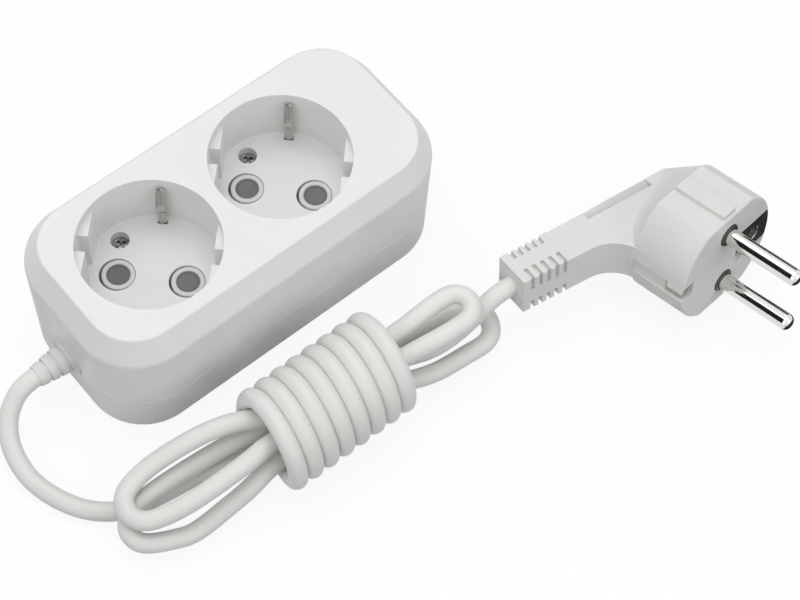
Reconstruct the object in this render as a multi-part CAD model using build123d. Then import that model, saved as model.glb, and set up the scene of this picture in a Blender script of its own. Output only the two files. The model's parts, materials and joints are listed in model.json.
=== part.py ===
from build123d import *
import math
import os

# Two-way earthed extension block with its bundled cord and angled plug.
# Millimetres, +Z up, origin at the bottom centre of the housing.

# Housing shell
LENGTH = 113.6
WIDTH = 55.6
HEIGHT = 42.9
CORNER_R = 17.5
SHOULDER_Z = 35.7
SHOULDER_INSET = 4.2
DRAFT = 0.7
WALL = 2.2
SPLIT_SHARE = 0.338
SHOULDER_EDGE_R = 3.0
TOP_EDGE_R = 0.6
BOTTOM_EDGE_R = 1.2
PARTING_CHAMFER = 0.2
LIP_RISE = 1.6
LIP_THICK = 1.0

# Clearances: pieces that slide together, pieces that seat on each other, screws in their holes
SLIP = 0.15
SEAT = 0.02
SCREW_GAP = 0.05

# Socket wells
SOCKET_FROM_END = 29.75
SOCKET_PITCH = 43.9
WELL_R = 19.75
WELL_DEPTH = 18.5
WELL_WALL = 1.8
FLOOR_THICK = 2.6
FLOOR_EDGE_R = 0.6
RIM_CUT = 0.4
PIN_LINE_DEG = -45.0
PIN_SPACING = 19.0
LEDGE_IN = 2.85
LEDGE_DROP = 3.5
LEDGE_NOTCH = 4.8

# Rings and guides at the pin holes
FLOOR_HOLE_R = 5.0
FLOOR_HOLE_SHIFT = -0.3
COLLAR_R = 4.6
COLLAR_RISE = 0.2
GUIDE_R = 2.8
GUIDE_OUTER_R = 3.25
GUIDE_DROP = 0.3
BLOCK_LENGTH = 30.0
BLOCK_WIDTH = 11.0
BLOCK_THICK = 2.0
BLOCK_CORNER_R = 2.0

# Contact rails
RAIL_RISE = 3.8
RAIL_THICK = 0.8
RAIL_WIDTH = 7.0
RAIL_FROM_CLAMP = 5.5
CUP_R = 2.45
CUP_OUTER_R = 3.2
CUP_SLIT = 0.8
RAIL_HOLE_R = 2.7
RIB_THICK = 1.6
RIB_LENGTH = 22.4
RIB_BEFORE = 13.45
PIN_POCKET_R = 3.0
PIN_POCKET_DEPTH = 1.4

# Earth parts
CLIP_WIDTH = 2.4
CLIP_THICK = 0.5
CLIP_IN = 2.0
CLIP_KNEE_RISE = 5.2
CLIP_BOW_IN = 3.55
CLIP_BOW_RISE = 9.4
CLIP_TIP_IN = 0.75
CLIP_TIP_DROP = 2.9
CLIP_BENDS = (2.4, 5.0, 1.0)
LINK_WIDTH = 4.0
LINK_THICK = 0.8
LINK_FROM_CLAMP = 9.0
LINK_OVERHANG = 3.0

# Cover screws, one in each well floor
SCREW_IN = 4.55
SCREW_SINK = 2.4
HEAD_R = 2.5
HEAD_HOLE_R = 2.65
HEAD_HEIGHT = 2.0
SHANK_R = 1.45
SCREW_POINT_GAP = 2.8
SHANK_HOLE_R = 1.65
BOSS_R = 4.0
POST_R = 3.5
SEAT_THICK = 3.0
CROSS_LENGTH = 3.4
CROSS_WIDTH = 0.8
CROSS_DEPTH = 1.1

# Cord and its clamp
CORD_R = 2.7
CLAMP_FROM_END = 9.3
CLAMP_LENGTH = 7.0
CLAMP_WIDTH = 20.0
CLAMP_GAP = 0.5
CLAMP_HEIGHT = 3.2
CORD_PAST_CLAMP = 4.0
CLAMP_SCREW_Y = 6.5
CLAMP_SHANK_R = 1.25
CLAMP_SHANK_LENGTH = 9.4
CLAMP_HEAD_R = 2.3
CLAMP_HEAD_HEIGHT = 1.8
WIRE_R = 1.0
WIRE_SPREAD = 1.2
WIRE_UP = 0.7
WIRE_DOWN = 1.3
WIRE_STRAIGHT = 2.4
WIRE_DIP = 3.0
WIRE_FROM_CLAMP = 8.1

# Strain relief sleeve
SLEEVE_OUT = 10.0
SLEEVE_TIP_R = 3.1
SLEEVE_ROOT_R = 4.5
SLEEVE_FLANGE_R = 6.1
SLEEVE_SINK = 0.9
SLEEVE_FLANGE = 1.0
SLEEVE_NECK_R = 3.95
SLEEVE_INNER_GAP = 0.7
SLEEVE_INNER_FLANGE = 1.5
SLEEVE_INNER_R = 5.5
GROOVE_COUNT = 3
GROOVE_PITCH = 2.9
GROOVE_WIDTH = 0.9
GROOVE_DEPTH = 0.5

# Cord bundle: a round binding of turns on the floor and four loops that stand out of it
BUNDLE_X = -11.42
BUNDLE_GAP = 25.07
BUNDLE_DEG = -4.64
TURNS = 8
TURN_PITCH = 5.23
TURN_MID_R = 12.5
TURN_VALLEY_R = 13.4
BINDING_LIFT = 0.05
BINDING_SHIFT = (0.9, -1.78)
BINDING_DEG = 4.16
LEAD_SEAT = (4.2, -9.8)
TAIL_SEAT = (0.6, -3.0)
SEAT_RUN = 8.0
ARC_SHARE = 0.45

# Angled plug, lying on the floor on its side
PLUG_FACE = (100.97, -91.28, 20.99)
PLUG_PIN_DIR = (0.127, -0.978, 0.164)
PLUG_NECK_DIR = (-0.989, -0.111, 0.099)
DRUM_PLAY = 0.45
DRUM_FLAT_PLAY = 0.1
DRUM_DEPTH = 18.0
DRUM_EDGE_R = 0.8
RIB_WIDTH = 5.0
RIB_PLAY = 1.55
RIB_RUN = 17.5
BACK_X = 3.0
BACK_Z = -33.4
BACK_DEG = 12.31
BACK_R = 11.0
BACK_FLAT = 6.6
NECK_HALF = 6.2
NECK_SIDE = ((-7.6, -31.1), (46.0, -42.8), (48.4, -31.6), (18.28, -24.1), (18.28, -12.0), (0.0, -12.0))
NECK_BEND_R = 11.0
NECK_EDGE_R = 0.7
GRIP_COUNT = 5
GRIP_PITCH = 2.68
GRIP_FIRST = 3.0
GRIP_WIDTH = 1.35
GRIP_DEPTH = 1.2
GRIP_LONG = 7.4
GRIP_SHORT = 3.8
GRIP_OVER = 2.6
STEP_WIDTH = 2.5
STEP_DEPTH = 0.6
STEP_SPAN = (-7.6, 18.7)
PLUG_PIN_R = 2.4
PLUG_PIN_LENGTH = 23.8
PLUG_PIN_ROOT = 13.0
PLUG_ROOT_R = 1.9
PLUG_PIN_TIP_R = 1.8
PLUG_COLLAR_R = 4.5
PLUG_COLLAR_DEPTH = 2.5
PLUG_COLLAR_RISE = 0.4
GROOVE_HALF = 2.5
GROOVE_DEEP = 4.8
GROOVE_RUN = 17.5
GROOVE_SHALLOW = 0.8
CONTACT_RUN = 6.5
EARTH_HALF = 5.85
EARTH_START = 4.5
EARTH_DEPTH = 3.0
EARTH_HOLE_AT = -10.5
EARTH_HOLE_R = 2.8
BRACKET_THICK = 0.8
BRACKET_HALF = 2.3
BRACKET_IN = 1.2
BRACKET_FRONT = -1.0
BRACKET_PLATE_HALF = 5.2
BRACKET_BACK = -17.3
TAIL_GRIP = 4.0
TAIL_STRAIGHT = 4.0

# Cutting shapes run past the faces they open by this much
OVER = 1.0

# Derived positions along the housing
END_X = -LENGTH / 2
SOCKETS_X = (END_X + SOCKET_FROM_END, END_X + SOCKET_FROM_END + SOCKET_PITCH)
SOCKET_MID_X = sum(SOCKETS_X) / 2
RIB_AT = (SOCKETS_X[0] - RIB_BEFORE, SOCKETS_X[0], SOCKET_MID_X, SOCKETS_X[1])
SLEEVE_TIP_X = END_X - SLEEVE_OUT
SLEEVE_SEAT_X = END_X + SLEEVE_SINK
SLEEVE_INNER_X = END_X + WALL + SLEEVE_INNER_GAP
CLAMP_X = END_X + CLAMP_FROM_END
CORD_INNER_END_X = CLAMP_X + CORD_PAST_CLAMP
RAIL_START_X = CLAMP_X + RAIL_FROM_CLAMP
LINK_START_X = CLAMP_X + LINK_FROM_CLAMP
WIRE_LAND_X = CLAMP_X + WIRE_FROM_CLAMP

# Derived radii of the well, its clip and the plug that fits it
LEDGE_CHORD = WELL_R - LEDGE_IN
CLIP_OUT = WELL_R - CLIP_IN
CLIP_BOW = WELL_R - CLIP_BOW_IN
CLIP_TIP = WELL_R - CLIP_TIP_IN
SCREW_OFF_Y = WELL_R - SCREW_IN
DRUM_R = WELL_R - DRUM_PLAY
DRUM_FLAT = LEDGE_CHORD - DRUM_FLAT_PLAY
RIB_CREST = WELL_R - RIB_PLAY
GROOVE_FLOOR = DRUM_R - GROOVE_DEEP
BRACKET_OUT = DRUM_R - BRACKET_IN
PIN_OFF = PIN_SPACING / 2

# Derived heights
SPLIT_Z = SPLIT_SHARE * HEIGHT
CORD_Z = SPLIT_Z
CLAMP_Z = CORD_Z + CLAMP_GAP
CLAMP_TOP_Z = CLAMP_Z + CLAMP_HEIGHT
CLAMP_SEAT_Z = CLAMP_TOP_Z - CLAMP_HEAD_HEIGHT
SADDLE_TOP_Z = CORD_Z - CLAMP_GAP
RAIL_Z = WALL + RAIL_RISE
SLOPE = math.atan2(SHOULDER_INSET, HEIGHT - SHOULDER_Z)
FLOOR_Z = HEIGHT - WELL_DEPTH
FLOOR_UNDER_Z = FLOOR_Z - FLOOR_THICK
LEDGE_Z = HEIGHT - LEDGE_DROP
COLLAR_TOP_Z = FLOOR_Z + COLLAR_RISE
BLOCK_UNDER_Z = FLOOR_UNDER_Z - BLOCK_THICK
RAIL_TOP_Z = RAIL_Z + RAIL_THICK
CLIP_Z = BLOCK_UNDER_Z - CLIP_THICK / 2
LINK_TOP_Z = BLOCK_UNDER_Z - CLIP_THICK
HEAD_TOP_Z = FLOOR_Z - SCREW_SINK
HEAD_SEAT_Z = HEAD_TOP_Z - HEAD_HEIGHT
POST_TOP_Z = HEAD_SEAT_Z - SEAT_THICK
SHANK_LENGTH = HEAD_SEAT_Z - WALL - SCREW_POINT_GAP
CLIP_KNEE_Z = FLOOR_Z + CLIP_KNEE_RISE
CLIP_BOW_Z = FLOOR_Z + CLIP_BOW_RISE
CLIP_TIP_Z = HEIGHT - CLIP_TIP_DROP

PLUG = Plane(origin=PLUG_FACE, x_dir=PLUG_NECK_DIR, z_dir=PLUG_PIN_DIR)


def level_plane(origin, degrees):
    """Plane with Z up whose X is turned by some degrees from the row's X."""
    turn = math.radians(degrees)
    return Plane(origin=origin, x_dir=(math.cos(turn), math.sin(turn), 0), z_dir=(0, 0, 1))


TURN_CREST_R = TURN_MID_R + CORD_R
BUNDLE = level_plane((BUNDLE_X, -WIDTH / 2 - BUNDLE_GAP, 0), BUNDLE_DEG)
BINDING_PLACE = BUNDLE.from_local_coords(Vector(*BINDING_SHIFT, TURN_CREST_R + BINDING_LIFT))
BINDING = level_plane(BINDING_PLACE, BUNDLE_DEG + BINDING_DEG)


def block(x_span, y_span, z_span):
    """Box between two limits along each axis."""
    size = [high - low for low, high in (x_span, y_span, z_span)]
    middle = [(low + high) / 2 for low, high in (x_span, y_span, z_span)]
    return Pos(*middle) * Box(*size)


def post(x, y, z_span, radius):
    """Upright cylinder between two heights."""
    return Pos(x, y, (z_span[0] + z_span[1]) / 2) * Cylinder(radius, z_span[1] - z_span[0])


def along_x(x_span, z, radius):
    """Cylinder that lies along X at y = 0."""
    return Pos((x_span[0] + x_span[1]) / 2, 0, z) * Rot(0, 90, 0) * Cylinder(radius, x_span[1] - x_span[0])


def at_socket(x):
    """Place of one socket: local X along its pin line."""
    return Location((x, 0, 0), (0, 0, PIN_LINE_DEG))


def pin_centre(x, side):
    """Row position of one pin hole of the socket at x; side is +1 or -1 along the pin line."""
    angle = math.radians(PIN_LINE_DEG)
    return x + side * PIN_OFF * math.cos(angle), side * PIN_OFF * math.sin(angle)


def outline(z, inset):
    """Rounded housing outline at height z, moved inward by inset."""
    knee_z = SHOULDER_Z - inset * math.tan(SLOPE / 2)
    drawn_in = inset + DRAFT * max(knee_z - z, 0) / SHOULDER_Z + max(z - knee_z, 0) * math.tan(SLOPE)
    size = (LENGTH - 2 * drawn_in, WIDTH - 2 * drawn_in)
    return Plane.XY.offset(z) * RectangleRounded(*size, CORNER_R - drawn_in)


def housing_solid():
    """Drafted rounded box with a sloped shoulder and softened edges."""
    body = loft([outline(0, 0), outline(SHOULDER_Z, 0), outline(HEIGHT, 0)], ruled=True)
    shoulder = [edge for edge in body.edges() if math.isclose(edge.center().Z, SHOULDER_Z, abs_tol=SEAT)]
    body = fillet(shoulder, SHOULDER_EDGE_R)
    body = fillet(body.edges().group_by(Axis.Z)[-1], TOP_EDGE_R)
    return fillet(body.edges().group_by(Axis.Z)[0], BOTTOM_EDGE_R)


def layer(z_span):
    """Block wider than the housing between two heights."""
    return block((-LENGTH, LENGTH), (-WIDTH, WIDTH), z_span)


def housing_space():
    """Hollow of the housing, one wall inside its faces."""
    knee_z = SHOULDER_Z - WALL * math.tan(SLOPE / 2)
    return loft([outline(z, WALL) for z in (WALL, knee_z, HEIGHT - WALL)], ruled=True)


def gland_space():
    """Seat of the strain relief in the end wall: a through hole with a flat rebate outside."""
    hole = along_x((END_X - OVER, SLEEVE_INNER_X), CORD_Z, SLEEVE_NECK_R + SEAT)
    rebate = along_x((END_X - OVER, SLEEVE_SEAT_X), CORD_Z, SLEEVE_FLANGE_R + SEAT)
    inner_end = SLEEVE_INNER_X + SLEEVE_INNER_FLANGE + SLIP
    inner = along_x((SLEEVE_INNER_X, inner_end), CORD_Z, SLEEVE_INNER_R + SLIP)
    return hole + rebate + inner


def well_space():
    """Space inside one well: round, with a notched guide ledge at each end of the pin line."""
    ring = Circle(WELL_R)
    floor = ring & Rectangle(2 * LEDGE_CHORD, 4 * WELL_R)
    notches = ring & Rectangle(4 * WELL_R, LEDGE_NOTCH)
    lower = extrude(Plane.XY.offset(FLOOR_Z) * (floor + notches), LEDGE_Z - FLOOR_Z)
    lower = fillet(lower.edges().group_by(Axis.Z)[0], FLOOR_EDGE_R)
    upper = extrude(Plane.XY.offset(LEDGE_Z) * ring, HEIGHT + OVER - LEDGE_Z)
    rim = Pos(0, 0, HEIGHT) * Cone(WELL_R - RIM_CUT, WELL_R + RIM_CUT, 2 * RIM_CUT)
    return lower + upper + rim


def floor_openings():
    """Holes through one well floor: two for the pins, two slots for the earth clip."""
    through = (FLOOR_UNDER_Z - OVER, FLOOR_Z + OVER)
    half = CLIP_WIDTH / 2 + SLIP
    reach = CLIP_THICK / 2 + 2 * SLIP
    holes = []
    for side in (-1, 1):
        middle = side * CLIP_OUT
        holes.append(post(side * PIN_OFF + FLOOR_HOLE_SHIFT, 0, through, FLOOR_HOLE_R))
        holes.append(block((-half, half), (middle - reach, middle + reach), through))
    return holes


def make_top_cover():
    """Upper shell with the two wells and the bosses that take the cover screws."""
    cover = housing_solid() & layer((SPLIT_Z, HEIGHT + OVER))
    cover = chamfer(cover.edges().group_by(Axis.Z)[0], PARTING_CHAMFER)
    cover -= housing_space()
    for x in SOCKETS_X:
        cover += post(x, 0, (FLOOR_UNDER_Z, HEIGHT - WALL / 2), WELL_R + WELL_WALL)
        cover += post(x, SCREW_OFF_Y, (POST_TOP_Z, FLOOR_Z), BOSS_R)
    for x in SOCKETS_X:
        cover -= at_socket(x) * well_space()
        for hole in floor_openings():
            cover -= at_socket(x) * hole
        cover -= post(x, SCREW_OFF_Y, (HEAD_SEAT_Z, FLOOR_Z + OVER), HEAD_HOLE_R)
        cover -= post(x, SCREW_OFF_Y, (POST_TOP_Z - OVER, HEAD_SEAT_Z), SHANK_HOLE_R)
    return cover - gland_space()


def make_base_cover():
    """Lower shell with a register lip, screw posts, rail ribs and the cord saddle."""
    base = housing_solid() & layer((-OVER, SPLIT_Z))
    base = chamfer(base.edges().group_by(Axis.Z)[-1], PARTING_CHAMFER)
    base -= housing_space()
    lip_low = SPLIT_Z - LIP_RISE
    lip = extrude(outline(lip_low, WALL + SLIP), 2 * LIP_RISE)
    foot = extrude(outline(lip_low, WALL / 2), LIP_RISE)
    base += lip + foot - extrude(outline(lip_low, WALL + SLIP + LIP_THICK), 2 * LIP_RISE)
    for x in SOCKETS_X:
        base += post(x, SCREW_OFF_Y, (WALL, POST_TOP_Z), POST_R)
    rib_y = (-RIB_LENGTH / 2, RIB_LENGTH / 2)
    for x in RIB_AT:
        base += block((x - RIB_THICK / 2, x + RIB_THICK / 2), rib_y, (WALL, RAIL_Z))
    half = CLAMP_LENGTH / 2
    base += block((CLAMP_X - half, CLAMP_X + half), (-CLAMP_WIDTH / 2, CLAMP_WIDTH / 2), (WALL, SADDLE_TOP_Z))
    base -= along_x((CLAMP_X - half - OVER, CLAMP_X + half + OVER), CORD_Z, CORD_R + SEAT)
    for x in SOCKETS_X:
        base -= post(x, SCREW_OFF_Y, (HEAD_SEAT_Z - SHANK_LENGTH - OVER, POST_TOP_Z), SHANK_R + SCREW_GAP)
        for side in (-1, 1):
            base -= post(*pin_centre(x, side), (WALL - PIN_POCKET_DEPTH, WALL), PIN_POCKET_R)
    screw_low = CLAMP_SEAT_Z - CLAMP_SHANK_LENGTH - OVER
    for side in (-1, 1):
        base -= post(CLAMP_X, side * CLAMP_SCREW_Y, (screw_low, SADDLE_TOP_Z), CLAMP_SHANK_R + SCREW_GAP)
    return base - gland_space()


def make_pin_collar(x, side):
    """Ring that stands on the contact block in the floor hole."""
    px, py = pin_centre(x, side)
    span = (FLOOR_UNDER_Z, COLLAR_TOP_Z)
    return post(px, py, span, COLLAR_R) - post(px, py, span, GUIDE_OUTER_R + SEAT)


def make_contact_block(x):
    """Insulating plate under one well, with a guide tube for each pin."""
    shape = RectangleRounded(BLOCK_LENGTH, BLOCK_WIDTH, BLOCK_CORNER_R)
    plate = extrude(Plane.XY.offset(BLOCK_UNDER_Z) * shape, BLOCK_THICK)
    tube_top = COLLAR_TOP_Z - GUIDE_DROP
    for side in (-1, 1):
        plate += post(side * PIN_OFF, 0, (FLOOR_UNDER_Z, tube_top), GUIDE_OUTER_R)
    for side in (-1, 1):
        plate -= post(side * PIN_OFF, 0, (BLOCK_UNDER_Z - OVER, tube_top + OVER), GUIDE_R)
    return at_socket(x) * plate


def make_rail(side):
    """Strip that carries one slit cup under each socket's pin hole on its side."""
    centres = [pin_centre(x, side) for x in SOCKETS_X]
    y = centres[0][1]
    end_x = centres[-1][0] + RAIL_WIDTH / 2
    rail = block((RAIL_START_X, end_x), (y - RAIL_WIDTH / 2, y + RAIL_WIDTH / 2), (RAIL_Z, RAIL_TOP_Z))
    for x, _ in centres:
        rail += post(x, y, (RAIL_TOP_Z, BLOCK_UNDER_Z), CUP_OUTER_R)
    for x, _ in centres:
        slit = (RAIL_TOP_Z + CUP_R, BLOCK_UNDER_Z + OVER)
        rail -= post(x, y, (RAIL_Z - OVER, RAIL_TOP_Z), RAIL_HOLE_R)
        rail -= post(x, y, (RAIL_TOP_Z, BLOCK_UNDER_Z + OVER), CUP_R)
        rail -= block((x - RAIL_WIDTH, x + RAIL_WIDTH), (y - CUP_SLIT / 2, y + CUP_SLIT / 2), slit)
    return rail


def make_earth_clip(x):
    """Spring strip bent to a U: flat under the block, bowed inward where it stands in the well."""
    rise = [(CLIP_TIP, CLIP_TIP_Z), (CLIP_BOW, CLIP_BOW_Z), (CLIP_OUT, CLIP_KNEE_Z), (CLIP_OUT, CLIP_Z)]
    points = [(0, -out, z) for out, z in rise] + [(0, out, z) for out, z in reversed(rise)]
    path = FilletPolyline(*points, radius=list(CLIP_BENDS) + list(reversed(CLIP_BENDS)))
    section = Plane(origin=path @ 0, x_dir=(1, 0, 0), z_dir=path % 0) * Rectangle(CLIP_WIDTH, CLIP_THICK)
    return at_socket(x) * sweep(section, path=path)


def make_earth_link():
    """Flat bar that joins the two earth clips and takes the earth wire."""
    x_span = (LINK_START_X, SOCKETS_X[-1] + LINK_OVERHANG)
    return block(x_span, (-LINK_WIDTH / 2, LINK_WIDTH / 2), (LINK_TOP_Z - LINK_THICK, LINK_TOP_Z))


def cross_screw(x, y, seat_z, head_r, head_height, shank_r, shank_length):
    """Cheese-head screw with a cross recess, its head seated at seat_z."""
    top_z = seat_z + head_height
    screw = post(x, y, (seat_z, top_z), head_r) + post(x, y, (seat_z - shank_length, seat_z), shank_r)
    for turn in (0, 90):
        slot = Box(CROSS_LENGTH, CROSS_WIDTH, 2 * CROSS_DEPTH)
        screw -= Pos(x, y, top_z) * Rot(0, 0, turn) * slot
    return screw


def make_cover_screws():
    """The two screws that hold the covers together."""
    sizes = (HEAD_R, HEAD_HEIGHT, SHANK_R, SHANK_LENGTH)
    return Compound(children=[cross_screw(x, SCREW_OFF_Y, HEAD_SEAT_Z, *sizes) for x in SOCKETS_X])


def make_cable_clamp():
    """Bar that presses the cord into the saddle."""
    half = CLAMP_LENGTH / 2
    bar = block((CLAMP_X - half, CLAMP_X + half), (-CLAMP_WIDTH / 2, CLAMP_WIDTH / 2), (CLAMP_Z, CLAMP_TOP_Z))
    bar -= along_x((CLAMP_X - half - OVER, CLAMP_X + half + OVER), CORD_Z, CORD_R + SEAT)
    for side in (-1, 1):
        y = side * CLAMP_SCREW_Y
        bar -= post(CLAMP_X, y, (CLAMP_Z - OVER, CLAMP_TOP_Z), CLAMP_SHANK_R + SLIP)
        bar -= post(CLAMP_X, y, (CLAMP_SEAT_Z, CLAMP_TOP_Z + OVER), CLAMP_HEAD_R + SLIP)
    return bar


def make_clamp_screws():
    """The two screws of the cable clamp."""
    sizes = (CLAMP_HEAD_R, CLAMP_HEAD_HEIGHT, CLAMP_SHANK_R, CLAMP_SHANK_LENGTH)
    spots = [(CLAMP_X, side * CLAMP_SCREW_Y, CLAMP_SEAT_Z) for side in (-1, 1)]
    return Compound(children=[cross_screw(*spot, *sizes) for spot in spots])


def rounded_path(points, share=ARC_SHARE):
    """Straight runs joined by tangent arcs, each as large as its shorter run allows."""
    spots = [Vector(*point) for point in points]
    radii = []
    for before, here, after in zip(spots, spots[1:], spots[2:]):
        turn = math.radians((here - before).get_angle(after - here))
        radii.append(share * min((here - before).length, (after - here).length) / math.tan(turn / 2))
    return FilletPolyline(*spots, radius=radii), radii


def tube(points, radius):
    """Round tube along a rounded path."""
    path, radii = rounded_path(points)
    solid = sweep(Plane(origin=path @ 0, z_dir=path % 0) * Circle(radius), path=path)
    straight = math.pi * radius ** 2 * path.length
    bends = " ".join("%.1f" % bend for bend in radii)
    print("  run %.1f mm, volume ratio %.4f, bends %s" % (path.length, solid.volume / straight, bends))
    return solid


def make_wires():
    """The three cores from the cord's end to the rails and the earth link."""
    start_x = CORD_INNER_END_X
    side_z = CORD_Z + WIRE_UP
    earth_z = CORD_Z - WIRE_DOWN
    wires = {}
    for name, side in (("line_wire", 1), ("neutral_wire", -1)):
        rail_y = side * abs(pin_centre(0, 1)[1])
        points = [(start_x, side * WIRE_SPREAD, side_z), (start_x + WIRE_STRAIGHT, side * WIRE_SPREAD, side_z)]
        points += [(WIRE_LAND_X, rail_y, side_z - WIRE_DIP), (WIRE_LAND_X, rail_y, RAIL_TOP_Z)]
        wires[name] = tube(points, WIRE_R)
    link_z = LINK_TOP_Z - LINK_THICK
    rise_x = LINK_START_X + LINK_WIDTH / 2
    points = [(start_x, 0, earth_z), (rise_x, 0, earth_z), (rise_x, 0, link_z)]
    wires["earth_wire"] = tube(points, WIRE_R)
    return wires


def make_strain_relief():
    """Tapered sleeve with ring grooves, held in the end wall between two flanges."""
    flange_x = SLEEVE_SEAT_X - SLEEVE_FLANGE
    back_x = SLEEVE_INNER_X + SLEEVE_INNER_FLANGE
    bore = CORD_R + SEAT
    profile = [(back_x, bore), (back_x, SLEEVE_INNER_R), (SLEEVE_INNER_X, SLEEVE_INNER_R)]
    profile += [(SLEEVE_INNER_X, SLEEVE_NECK_R), (SLEEVE_SEAT_X, SLEEVE_NECK_R)]
    profile += [(SLEEVE_SEAT_X, SLEEVE_FLANGE_R), (flange_x, SLEEVE_FLANGE_R), (flange_x, SLEEVE_ROOT_R)]
    profile += [(SLEEVE_TIP_X, SLEEVE_TIP_R), (SLEEVE_TIP_X, bore)]
    face = Plane.XZ * make_face(Polyline(*profile, close=True))
    sleeve = revolve(face, Axis.X)
    taper = (SLEEVE_TIP_R - SLEEVE_ROOT_R) / (SLEEVE_TIP_X - flange_x)
    for index in range(1, GROOVE_COUNT + 1):
        x = SLEEVE_TIP_X + index * GROOVE_PITCH
        outer = SLEEVE_ROOT_R + taper * (x - flange_x)
        span = (x - GROOVE_WIDTH / 2, x + GROOVE_WIDTH / 2)
        sleeve -= along_x(span, 0, outer + OVER) - along_x(span, 0, outer - GROOVE_DEPTH)
    return Pos(0, 0, CORD_Z) * sleeve


def in_plane(plane, points):
    """Row positions of points given in a plane's own directions."""
    return [tuple(plane.from_local_coords(Vector(*point))) for point in points]


BUNDLE_HALF = TURNS * TURN_PITCH / 2
LEAD_FROM_TIP = [
    (0.0, 0.0, CORD_Z), (-4.2, 0.0, CORD_Z), (-8.2, -0.9, 12.2), (-11.7, -2.9, 9.7), (-13.8, -5.4, 7.5),
    (-15.4, -8.6, 5.6), (-16.3, -12.7, 4.2), (-16.6, -17.4, 3.2), (-15.8, -22.6, 2.75), (-13.9, -28.4, 2.75),
    (-10.8, -34.3, 2.75),
]
LEAD_FLOOR = [
    (-62.8, 9.0, 2.75), (-58.1, 6.6, 2.75), (-52.5, 5.6, 2.75), (-45.2, 4.9, 2.75), (-36.5, 4.7, 2.75),
]
LEAD_LAST = [(-BUNDLE_HALF - SEAT_RUN, *LEAD_SEAT), (-BUNDLE_HALF, *LEAD_SEAT)]
LEFT_TOP_LOOP = [
    (-18.0, -4.8, 18.85), (-26.0, -6.0, 18.2), (-35.6, -6.35, 16.8), (-44.9, -6.3, 15.2), (-52.3, -5.3, 14.0),
    (-57.8, -3.5, 13.4), (-60.2, 0.8, 13.2), (-58.7, 5.7, 13.2), (-54.3, 7.9, 13.6), (-48.2, 8.8, 14.8),
    (-40.2, 8.5, 16.4), (-31.9, 7.6, 17.8), (-24.8, 6.0, 18.4), (-18.0, 3.4, 18.0),
]
LEFT_LOW_LOOP = [
    (-18.5, -6.6, 11.2), (-26.7, -8.5, 8.4), (-35.0, -9.1, 6.0), (-43.8, -9.9, 4.8), (-51.0, -9.5, 5.3),
    (-58.0, -7.6, 6.4), (-61.7, -4.3, 7.4), (-61.9, 0.6, 8.0), (-58.4, 4.2, 8.3), (-53.4, 4.7, 8.4),
    (-46.2, 4.9, 8.6), (-37.5, 4.9, 9.1), (-27.0, 4.5, 10.1), (-18.0, 3.3, 11.5),
]
RIGHT_TOP_LOOP = [
    (18.5, 2.9, 18.0), (25.5, 3.4, 19.2), (33.0, 4.0, 20.8), (39.5, 4.6, 21.8), (44.5, 4.6, 22.4),
    (47.8, 1.3, 22.6), (47.8, -3.3, 22.6), (44.5, -6.6, 22.4), (39.5, -6.7, 22.0), (33.0, -6.0, 21.2),
    (26.0, -4.9, 20.0), (19.0, -4.0, 18.8),
]
RIGHT_LOW_LOOP = [
    (18.0, 5.0, 6.4), (26.0, 6.6, 5.2), (34.5, 6.2, 6.0), (43.0, 5.5, 6.9), (49.5, 5.0, 7.2),
    (53.6, 2.0, 7.2), (54.8, -3.2, 7.2), (52.0, -7.4, 7.2), (46.5, -8.6, 7.2), (39.0, -8.4, 7.3),
    (31.0, -8.1, 8.0), (24.5, -6.8, 9.0), (18.3, -5.0, 10.4),
]
TAIL_FIRST = [(BUNDLE_HALF, *TAIL_SEAT), (BUNDLE_HALF + SEAT_RUN, *TAIL_SEAT)]
TAIL_NEXT = [(36.5, -1.2, 12.6), (43.0, -2.6, 14.0), (49.0, -3.1, 16.2)]


def lead_route():
    """Cord from the sleeve down to the floor and along it to the binding's end."""
    drop = [(SLEEVE_TIP_X + x, y, z) for x, y, z in LEAD_FROM_TIP]
    return drop + in_plane(BUNDLE, LEAD_FLOOR) + in_plane(BINDING, LEAD_LAST)


def make_cord_hank():
    """Outer shape of the bound cord: turns side by side and the four loops that leave them."""
    valleys = [(-BUNDLE_HALF + index * TURN_PITCH, TURN_VALLEY_R) for index in range(TURNS + 1)]
    section = [Polyline(valleys[-1], (BUNDLE_HALF, 0), (-BUNDLE_HALF, 0), valleys[0])]
    for here, after in zip(valleys, valleys[1:]):
        section.append(ThreePointArc(here, ((here[0] + after[0]) / 2, TURN_CREST_R), after))
    turns = revolve(Plane.XZ * make_face(section), Axis.X)
    hank = BINDING.location * turns
    for loop in (LEFT_TOP_LOOP, LEFT_LOW_LOOP, RIGHT_TOP_LOOP, RIGHT_LOW_LOOP):
        hank += tube(in_plane(BUNDLE, loop), CORD_R)
    return hank


def drum_section(plane, radius, flat):
    """Round plug outline with two flats."""
    return plane * (Circle(radius) & Rectangle(4 * radius, 2 * flat))


def neck_line(start, end):
    """Plane whose X runs along the neck's edge from start to end, in the plug's middle plane."""
    run = Vector(end[0] - start[0], 0, end[1] - start[1])
    return Plane(origin=(start[0], 0, start[1]), x_dir=run, z_dir=(0, -1, 0))


def neck_end():
    """Middle of the neck's end face and its outward direction, in plug coordinates."""
    low, high = NECK_SIDE[1], NECK_SIDE[2]
    middle = Vector((low[0] + high[0]) / 2, 0, (low[1] + high[1]) / 2)
    outward = Vector(high[1] - low[1], 0, low[0] - high[0]).normalized()
    return middle, outward


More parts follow.
